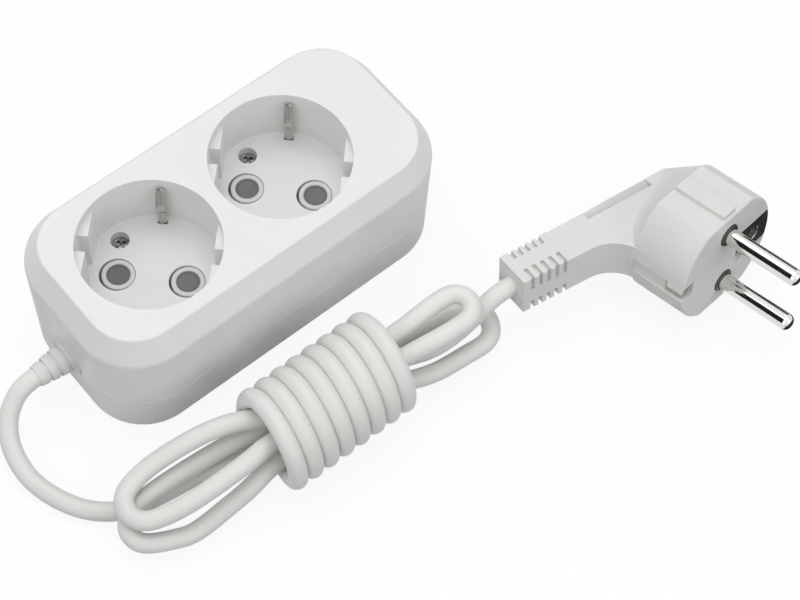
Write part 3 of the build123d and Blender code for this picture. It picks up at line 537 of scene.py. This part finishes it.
def hood_rings(count=60, steps=18):
    """Curves from the rim to the base, above and mirrored below, each at a share of the way round.

    The rim's radius is the smaller of the drum's and the flat over the sine of the angle. The base
    runs to the hood's corner along a bow and straight back to the rim. The rise over the flat neck
    falls as a power of the way that is left.
    """
    share = np.linspace(*HOOD_ENDS, count)
    angle = np.radians(np.interp(share, RIM_SHARES, RIM_ANGLES))
    reach = np.minimum(DRUM_R, DRUM_FLAT / np.sin(angle)) * RIM_INSET
    rim = np.stack([reach * np.cos(angle), -reach * np.sin(angle), np.full(count, DRUM_REAR)], axis=-1)
    to_corner = np.clip(share / CORNER_SHARE, 0, 1)
    bow = HOOD_BOW * np.sin(math.pi * to_corner) * (1 - to_corner)
    power = np.interp(share, POWER_SHARES, HOOD_POWERS)[:, None]
    base_x = np.interp(share, BASE_SHARES, (DRUM_AT_NECK, HOOD_CORNER[0], -DRUM_AT_NECK))
    base_z = np.interp(share, BASE_SHARES, (DRUM_REAR, HOOD_CORNER[1], DRUM_REAR))
    bowed = [base_x + BOW_TOWARDS[0] * bow, np.full(count, -NECK_HALF), base_z + BOW_TOWARDS[1] * bow]
    base = np.stack(bowed, axis=-1)
    inner = rim * INNER_SCALE
    part = np.linspace(0, 1, steps)[None, :, None]
    curves = rim[:, None] * (1 - part) + base[:, None] * part
    sunk = NECK_HALF - HOOD_SUNK
    curves[..., 1] = -sunk + (rim[:, None, 1] + sunk) * (1 - part[..., 0]) ** power
    upper = np.concatenate([inner[:, None], curves], axis=1)
    return plug_to_row(np.concatenate([upper, upper[:, ::-1] * (1, -1, 1)], axis=1))


hood = ring_mesh("hood", [hood_rings()])
print("hood of", len(hood.vertices), "points")

# %% [markdown]
# Five slots over each long edge let the end of the neck bend with the cord, and a recess along the
# back edge gives the fingers a hold. A slot is cut with a plain outline. The recess slopes, so its
# outline has a depth of its own at each corner.

# %% Grip slots and finger recess
GRIP_OUTLINE = [(30.4, -39.37), (46.0, -42.775), (48.4, -31.625), (30.4, -27.143)]
SLOT_COUNT = 5
SLOT_WIDTH = 1.3
SLOT_DEPTH = 1.15
SLOT_FROM = -1.0
FLAT_SPANS = ((-7.2, SLOT_DEPTH - NECK_HALF), (NECK_HALF - SLOT_DEPTH, 7.2))
WALL_SPANS = ((-7.4, -1.1), (3.1, 7.4))
WALL_INSET = 0.02
# A row of slots: the first slot's middle, the step to the next and the length in from the edge.
FRONT_SLOTS = (3.0, 2.68, 4.2)
BACK_SLOTS = (3.3, 2.33, 2.9)
RECESS_ALONG = (28.2, 55.0)
RECESS_INWARD = (-0.3, 3.0)
RECESS_SIDES = (-6.46, -6.46, -3.4, -3.4)
RECESS_OUT_TO = 9.0


def slot_span(slots, index, inset=0.0):
    """Stretch of one slot along its edge, narrowed by an inset at both sides."""
    middle = slots[0] + index * slots[1]
    return (middle - SLOT_WIDTH / 2 + inset, middle + SLOT_WIDTH / 2 - inset)


def flat_slots():
    """Slots into both flats, in from the front edge and from the back edge."""
    cuts = []
    for index in range(SLOT_COUNT):
        for low, high in FLAT_SPANS:
            for edge, slots in ((FRONT_EDGE, FRONT_SLOTS), (BACK_EDGE, BACK_SLOTS)):
                outline = edge_outline(edge, slot_span(slots, index), (SLOT_FROM, slots[2]))
                cuts.append(prism(outline, low, high))
    return cuts


def wall_slots():
    """The front slots carried on down and up the front face, with a bar left between them."""
    cuts = []
    for index in range(SLOT_COUNT):
        span = slot_span(FRONT_SLOTS, index, WALL_INSET)
        outline = edge_outline(FRONT_EDGE, span, (SLOT_FROM, SLOT_DEPTH))
        cuts += [prism(outline, low, high) for low, high in WALL_SPANS]
    return cuts


def finger_recesses():
    """Recess along the back edge on both flats: deep at its front wall, running out at the edge."""
    outline = edge_outline(BACK_EDGE, RECESS_ALONG, RECESS_INWARD)
    slope = np.array(RECESS_SIDES)
    return [prism(outline, slope, -RECESS_OUT_TO), prism(outline, -slope, RECESS_OUT_TO)]


grip = ring_mesh("grip", [prism(GRIP_OUTLINE, -BLOCK_HALF, BLOCK_HALF)])
for cuts in (flat_slots(), wall_slots()):
    grip = carved(grip, ring_mesh("tool", cuts), "DIFFERENCE")
print("slotted grip of", len(grip.polygons), "faces")

# %% [markdown]
# The moulding starts as a merged copy of the plug's solid. The solid's own hood and grip end come off,
# the finger recess is cut, and the neck's corner, the grip and the new hood are joined on. Faces that
# share a plane confuse a Boolean step, so the cut leaves a hair on the neck's flats, and the parts that
# are joined on lie a hair below them.

# %% Plug moulding
CUT_HAIR = 0.015
OLD_HOOD_X = (-26.0, 30.0)
OLD_HOOD_Z = (-50.0, DRUM_REAR)
OLD_HOOD_OUT_TO = 25.0
OLD_GRIP_X = (31.0, 60.0)
OLD_GRIP_Z = (-50.0, -15.0)
OLD_GRIP_HALF = 12.0
CORNER_OUTLINE = [(-3.0, -32.04), (-9.7, -30.6), (-9.4, -26.0), (-3.0, -24.0)]

moulding = frame["nodes"]["plug_body"].data.copy()
for kept_shading in ("custom_normal", "sharp_edge", "sharp_face"):
    if kept_shading in moulding.attributes:
        moulding.attributes.remove(moulding.attributes[kept_shading])
moulding = merged(moulding)
behind_rim = rectangle(OLD_HOOD_X, OLD_HOOD_Z)
old_hood = [prism(behind_rim, side * (NECK_HALF + CUT_HAIR), side * OLD_HOOD_OUT_TO) for side in (-1, 1)]
old_grip = [prism(rectangle(OLD_GRIP_X, OLD_GRIP_Z), -OLD_GRIP_HALF, OLD_GRIP_HALF)]
for cuts in (old_hood, old_grip, finger_recesses()):
    moulding = carved(moulding, ring_mesh("tool", cuts), "DIFFERENCE")
corner = ring_mesh("corner", [prism(CORNER_OUTLINE, -BLOCK_HALF, BLOCK_HALF)])
for addition in (corner, grip, hood):
    moulding = carved(moulding, addition, "UNION")
add_piece("plug_moulding", moulding, PLUG_WHITE, "plug_white", "plug_body", crease=25.0)
print("plug moulding of", len(moulding.polygons), "faces")

# %% [markdown]
# On the plug's face each pin stands in a dark collar with a white seat round it, both turned parts.
# The earth plate lies just below the face and reaches the rim. It is made of rings about its hole,
# and each outer point is where its ray first meets the plate's end, a long side or the rim.

# %% Plug face
PIN_SPREAD = 9.5
COLLAR_PROFILE = [
    (2.45, -2.4), (3.42, -2.4), (3.42, 0.2), (3.32, 0.34), (3.1, 0.4), (2.7, 0.4), (2.5, 0.32),
    (2.45, 0.1), (2.45, -2.4),
]
SEAT_PROFILE = [(3.5, -2.4), (4.5, -2.4), (4.5, -0.02), (3.6, -0.02), (3.5, -0.12), (3.5, -2.4)]
PLATE_HOLE_X = -12.0
PLATE_END_X = -4.7
PLATE_HALF = 5.35
PLATE_RIM_R = 19.0
PLATE_LEVELS = ((0.0, -2.8), (0.0, -0.3), (-0.15, -0.15))
PLATE_HOLE = ((2.5, -0.15), (2.4, -0.25), (2.4, -2.7))
NEAR_NOUGHT = 1e-6


def plate_rings(sides=120):
    """Rings about the hole: three that follow the outer edge, then three circles into the hole."""
    angle = np.arange(sides) * 2 * math.pi / sides
    cos, sin = np.cos(angle), np.sin(angle)
    to_rim = -PLATE_HOLE_X * cos + np.sqrt(PLATE_RIM_R ** 2 - (PLATE_HOLE_X * sin) ** 2)
    to_end = np.where(cos > 0, (PLATE_END_X - PLATE_HOLE_X) / np.maximum(cos, NEAR_NOUGHT), np.inf)
    to_side = PLATE_HALF / np.maximum(abs(sin), NEAR_NOUGHT)
    edge = np.minimum(np.minimum(to_rim, to_end), to_side)
    radii = [(edge + step, height) for step, height in PLATE_LEVELS]
    radii += [(np.full(sides, radius), height) for radius, height in PLATE_HOLE]
    rings = [
        np.stack([PLATE_HOLE_X + radius * cos, radius * sin, np.full(sides, height)], axis=1)
        for radius, height in radii
    ]
    return plug_to_row(np.stack(rings))


for name, side in (("line", 1), ("neutral", -1)):
    place = plug_to_row((0.0, side * PIN_SPREAD, 0.0))
    collar = ring_mesh("plug_collar_" + name, [turned(COLLAR_PROFILE, place, PLUG_AXES)], ends=False)
    add_piece("plug_collar_" + name, collar, COLLAR_BLACK, "collar_black", "plug_pin_collar_" + name)
    seat = ring_mesh("plug_pin_seat_" + name, [turned(SEAT_PROFILE, place, PLUG_AXES)], ends=False)
    add_piece("plug_pin_seat_" + name, seat, PLUG_WHITE, "plug_white")
plate = ring_mesh("plug_earth_plate", [plate_rings()])
add_piece("plug_earth_plate", plate, SPRING_STEEL, "spring_steel")
print("collars, seats and earth plate made")

# %% [markdown]
# The cord is one length of round jacket: it leaves the sleeve, sweeps round the corner, is wound
# eight times round its own four long loops, and goes on to the plug. Its control points repeat the
# route of the solids, and inside the binding, where the solid is only an outer shape, they join the
# loops one after another. Sixteen points make each turn of the binding, on a circle a little larger
# than the turn, because a NURBS curve cuts inside its control points.

# %% Cord route
BUNDLE_PLACE = (-11.42, -52.87)
BUNDLE_TURN = math.radians(-4.64)
TURNS = 8
TURN_PITCH = 5.23
TURN_MID_R = 12.5
TURN_POINTS = 16
FIRST_TURN = -20.3
TURN_LEAN = 1.45
LEAN_ANGLE = math.radians(23.0)
BINDING_SIDE = -1.78
BINDING_SLANT = 0.0727
CORD_R = 2.7
CORD_LIFT = 0.05
CORD_EXIT = (-66.8, 0.0, 14.5)
NECK_END = (47.2, -37.2)
NECK_OUTWARD = (0.978, -0.2095)
NECK_REACH = 4.0

LEAD = [
    CORD_EXIT, (-71.0, 0.0, 14.5), (-75.0, -0.9, 12.2), (-78.5, -2.9, 9.7), (-80.6, -5.4, 7.5),
    (-82.2, -8.6, 5.6), (-83.1, -12.7, 4.2), (-83.4, -17.4, 3.2), (-82.6, -22.6, 2.75),
    (-80.7, -28.4, 2.75), (-77.6, -34.3, 2.75),
]
INTO_BINDING = [
    (-62.8, 9.0, 2.75), (-58.1, 6.6, 2.75), (-52.5, 5.6, 2.75), (-45.2, 4.9, 2.75), (-36.5, 4.7, 2.75),
    (-31.5, 3.2, 2.75), (-27.0, 2.2, 2.75), (-22.4, 2.7, 2.75), (-19.4, 5.4, 4.8), (-18.2, 8.6, 9.6),
]
RIGHT_LOW = [
    (21.8, 3.2, 2.9), (24.6, 6.6, 3.6), (30.0, 6.7, 5.0), (38.0, 5.6, 6.6), (46.8, 5.2, 7.2),
    (52.8, 3.9, 7.2), (55.0, -1.0, 7.2), (53.3, -6.2, 7.2), (49.3, -8.4, 7.2), (42.7, -8.1, 7.2),
    (34.1, -8.3, 7.6), (27.0, -7.3, 8.6), (20.5, -5.2, 10.0), (0.0, -5.9, 10.8),
]
LEFT_LOW = [
    (-20.5, -7.2, 10.6), (-26.7, -8.5, 8.6), (-30.7, -8.8, 7.0), (-37.1, -9.2, 5.6), (-43.8, -9.9, 4.8),
    (-48.2, -10.0, 5.0), (-52.6, -8.8, 5.6), (-57.3, -7.3, 6.4), (-61.0, -5.2, 7.2), (-61.8, -0.8, 8.0),
    (-58.9, 2.8, 8.3), (-54.0, 4.2, 8.4), (-46.2, 4.9, 8.6), (-37.5, 4.9, 9.1), (-30.3, 4.6, 9.8),
    (-23.2, 4.1, 10.7), (-16.3, 3.0, 11.8), (0.0, 4.7, 14.4),
]
RIGHT_TOP = [
    (20.5, 3.0, 18.2), (24.7, 3.2, 19.0), (29.4, 3.0, 20.0), (36.3, 3.5, 21.4), (41.0, 3.6, 22.1),
    (45.1, 3.4, 22.5), (47.8, 0.7, 22.6), (47.8, -3.0, 22.6), (45.1, -5.7, 22.6), (41.0, -5.9, 22.3),
    (35.6, -5.7, 21.7), (30.4, -5.0, 20.8), (26.5, -4.5, 20.0), (20.5, -4.1, 19.0), (0.0, -5.7, 18.6),
]
LEFT_TOP = [
    (-19.4, -4.9, 18.8), (-26.0, -6.0, 18.2), (-35.6, -6.35, 16.8), (-44.9, -6.3, 15.2), (-52.3, -5.3, 14.0),
    (-57.8, -3.5, 13.4), (-60.2, 0.8, 13.2), (-58.7, 5.7, 13.2), (-54.3, 7.9, 13.6), (-48.2, 8.8, 14.8),
    (-40.2, 8.5, 16.4), (-31.9, 7.6, 17.8), (-24.8, 6.0, 18.4), (-18.4, 3.4, 18.0), (-10.0, 0.4, 17.0),
    (0.0, -0.8, 14.4), (10.0, 0.0, 12.9),
]
TAIL = [(20.92, 0.8, 12.4), (29.0, -1.8, 11.6), (35.0, -3.4, 12.0), (42.0, -3.6, 13.4), (49.0, -3.1, 16.2)]


def in_bundle(points):
    """Row positions of points given along, across and above the bundle: turned, then moved."""
    along, across, above = np.array(points, float).T
    cos, sin = math.cos(BUNDLE_TURN), math.sin(BUNDLE_TURN)
    x = BUNDLE_PLACE[0] + cos * along - sin * across
    y = BUNDLE_PLACE[1] + sin * along + cos * across
    return np.stack([x, y, above], axis=1)


def binding_turns():
    """Helix round the bundle: the angle grows evenly while the point moves one pitch each turn.

    The middle of a turn moves to the side in proportion to its place along, and each turn leans:
    its far side is ahead of its near side by a cosine of the angle.
    """
    angle = np.arange(TURNS * TURN_POINTS - TURN_POINTS // 4 + 1) * 2 * math.pi / TURN_POINTS
    radius = TURN_MID_R / math.cos(math.pi / TURN_POINTS)
    along = FIRST_TURN + TURN_PITCH * angle / (2 * math.pi) + TURN_LEAN * (1 + np.cos(angle - LEAN_ANGLE))
    across = BINDING_SIDE + BINDING_SLANT * along + radius * np.cos(angle)
    above = TURN_MID_R + CORD_R + CORD_LIFT + radius * np.sin(angle)
    return np.stack([along, across, above], axis=1)


neck_ends = plug_to_row([
    (NECK_END[0] + step * NECK_OUTWARD[0], 0.0, NECK_END[1] + step * NECK_OUTWARD[1])
    for step in (NECK_REACH, -NECK_REACH)
])
cord_route = np.vstack([
    LEAD, in_bundle(INTO_BINDING), in_bundle(binding_turns()), in_bundle(RIGHT_LOW), in_bundle(LEFT_LOW),
    in_bundle(RIGHT_TOP), in_bundle(LEFT_TOP), in_bundle(TAIL), neck_ends,
])
print("cord route of", len(cord_route), "control points")

# %% [markdown]
# The jacket is a round bevel on one open NURBS curve along that route, which stays smooth where a chain of
# tubes would show joints. The length is measured on the curve itself.

# %% Cord


def smooth_cord(name, points, radius):
    """Round tube along one open NURBS curve with these control points, in metres."""
    curve = bpy.data.curves.new(name, "CURVE")
    curve.dimensions = "3D"
    line = curve.splines.new("NURBS")
    line.points.add(len(points) - 1)
    line.points.foreach_set("co", np.column_stack([points, np.ones(len(points))]).ravel())
    line.order_u = 3
    line.use_endpoint_u = True
    line.resolution_u = 6
    curve.bevel_depth = radius
    curve.bevel_resolution = 8
    curve.use_fill_caps = True
    piece = bpy.data.objects.new(name, curve)
    bpy.context.scene.collection.objects.link(piece)
    return piece


def curve_length(piece):
    """Length of a curve's centre line, from the mesh that the curve gives without its bevel."""
    depth = piece.data.bevel_depth
    piece.data.bevel_depth = 0.0
    mesh = bpy.data.meshes.new_from_object(piece.evaluated_get(bpy.context.evaluated_depsgraph_get()))
    piece.data.bevel_depth = depth
    spots = np.empty(3 * len(mesh.vertices))
    mesh.vertices.foreach_get("co", spots)
    bpy.data.meshes.remove(mesh)
    return float(np.linalg.norm(np.diff(spots.reshape(-1, 3), axis=0), axis=1).sum())


cord = smooth_cord("cord", cord_route * MM, CORD_R * MM)
cord.data.materials.append(JACKET_WHITE)
bpy.context.view_layer.update()
cord_length = curve_length(cord)
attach(cord, "root")
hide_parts("cord_lead", "cord_hank", "cord_tail")
print("cord of %d control points, %.3f m long" % (len(cord_route), cord_length))

# %% [markdown]
# The photograph has a pure white ground and hardly any shadow, and the sides of the block grow
# darker towards their foot. So the floor looks white to the camera and in reflections, with a small
# share of real diffuse floor that takes the contact shadow, and it lights the object only as a mid
# grey would.

# %% Floor
FLOOR_HALF = 3.0
FLOOR_GLOW = 0.88
FLOOR_GREY = 0.30


def grey(level):
    """Grey colour of one level in all three channels, with full cover."""
    return (level, level, level, 1)


def seen_directly(nodes):
    """One where a camera, glossy or transmission ray looks, nought for the light that bounces."""
    path = nodes.new("ShaderNodeLightPath")
    total = path.outputs["Is Camera Ray"]
    for kind in ("Is Glossy Ray", "Is Transmission Ray"):
        larger = add_node(nodes, "ShaderNodeMath", operation="MAXIMUM")
        join(nodes, total, larger.inputs[0])
        join(nodes, path.outputs[kind], larger.inputs[1])
        total = larger.outputs[0]
    return total


def mix_shaders(nodes, share, first, second):
    """Shader that goes from first to second as share goes from nought to one."""
    mix = nodes.new("ShaderNodeMixShader")
    if isinstance(share, float):
        mix.inputs[0].default_value = share
    else:
        join(nodes, share, mix.inputs[0])
    join(nodes, first, mix.inputs[1])
    join(nodes, second, mix.inputs[2])
    return mix.outputs[0]


floor_finish, nodes, shader = new_finish("white ground")
nodes.remove(shader)
glow = add_node(nodes, "ShaderNodeEmission", Color=grey(1), Strength=1.0).outputs[0]
shadow_part = add_node(nodes, "ShaderNodeBsdfDiffuse", Color=grey(1)).outputs[0]
bounce_part = add_node(nodes, "ShaderNodeBsdfDiffuse", Color=grey(FLOOR_GREY)).outputs[0]
bright = mix_shaders(nodes, FLOOR_GLOW, shadow_part, glow)
surface = mix_shaders(nodes, seen_directly(nodes), bounce_part, bright)
join(nodes, surface, nodes["Material Output"].inputs["Surface"])

floor_mesh = bpy.data.meshes.new("floor")
floor_span = (-FLOOR_HALF, FLOOR_HALF)
corners = [(x, y, 0) for x, y in rectangle(floor_span, floor_span)]
floor_mesh.from_pydata(corners, [], [(0, 1, 2, 3)])
floor_mesh.materials.append(floor_finish)
floor = bpy.data.objects.new("floor", floor_mesh)
bpy.context.scene.collection.objects.link(floor)
print("floor ready")

# %% [markdown]
# The world follows the same rule: it is white where the camera or a reflection sees it, and a plain
# grey where it lights the object, so that the lamps can still shape the block.

# %% World
WORLD_GREY = 0.50

world = bpy.data.worlds.new("studio")
bpy.context.scene.world = world
world.use_nodes = True
nodes = world.node_tree.nodes
soft = add_node(nodes, "ShaderNodeBackground", Color=grey(WORLD_GREY)).outputs[0]
white = add_node(nodes, "ShaderNodeBackground", Color=grey(1)).outputs[0]
backdrop = mix_shaders(nodes, seen_directly(nodes), soft, white)
join(nodes, backdrop, nodes["World Output"].inputs["Surface"])
print("world ready")

# %% [markdown]
# In an all-white room bright metal has nothing dark to reflect, and the pins would look like glass.
# As in a product studio, three dark cards stand outside the picture: one upright behind the pins,
# one high at the left and one on the ground before them. Only reflections see them, so they cast no
# shadow and take no light from the white plastic.

# %% Dark cards
CARDS = {
    "card behind": [(201, 8, 0), (243, -48, 0), (243, -48, 90), (201, 8, 90)],
    "card above": [(-14, -46, 260), (-40, 150, 228), (-191, 94, 14), (-165, -102, 46)],
    "card before": [(185, -45, 0.5), (100, -115, 0.5), (60, -174, 0.5), (140, -260, 0.5), (260, -130, 0.5)],
}
CARD_GREY = 0.01
CARD_ROUGHNESS = 0.9

card_finish, nodes, shader = new_finish("dark card")
shader.inputs["Base Color"].default_value = grey(CARD_GREY)
shader.inputs["Roughness"].default_value = CARD_ROUGHNESS
for name, corners in CARDS.items():
    card_mesh = bpy.data.meshes.new(name)
    card_mesh.from_pydata((np.array(corners, float) * MM).tolist(), [], [range(len(corners))])
    card_mesh.materials.append(card_finish)
    card = bpy.data.objects.new(name, card_mesh)
    bpy.context.scene.collection.objects.link(card)
    card.visible_camera = card.visible_diffuse = card.visible_shadow = card.visible_transmission = False
print(len(CARDS), "dark cards placed")

# %% [markdown]
# One wide soft lamp hangs above the block. Three weaker ones stand at the back, the left and the
# front. The left one makes the end face lighter than the long side, as in the photograph.

# %% Lamps


def soft_lamp(name, place, aim_at, size, watts):
    """Square area lamp at a place, aimed at a point."""
    lamp = bpy.data.lights.new(name, "AREA")
    lamp.size = size
    lamp.energy = watts
    piece = bpy.data.objects.new(name, lamp)
    piece.location = place
    piece.rotation_euler = (Vector(aim_at) - Vector(place)).to_track_quat("-Z", "Y").to_euler()
    bpy.context.scene.collection.objects.link(piece)


soft_lamp("overhead lamp", place=(0.05, 0.1, 1.3), aim_at=(0.0, -0.02, 0.0), size=1.0, watts=5.2)
soft_lamp("back lamp", place=(0.15, 0.75, 1.0), aim_at=(0.03, -0.03, 0.0), size=0.7, watts=1.9)
soft_lamp("left lamp", place=(-1.0, -0.35, 0.7), aim_at=(0.0, -0.02, 0.02), size=0.7, watts=2.0)
soft_lamp("front lamp", place=(0.35, -1.0, 0.6), aim_at=(0.0, -0.02, 0.0), size=0.7, watts=2.1)
print("lamps ready")

# %% [markdown]

# %% End
print("scene ready")
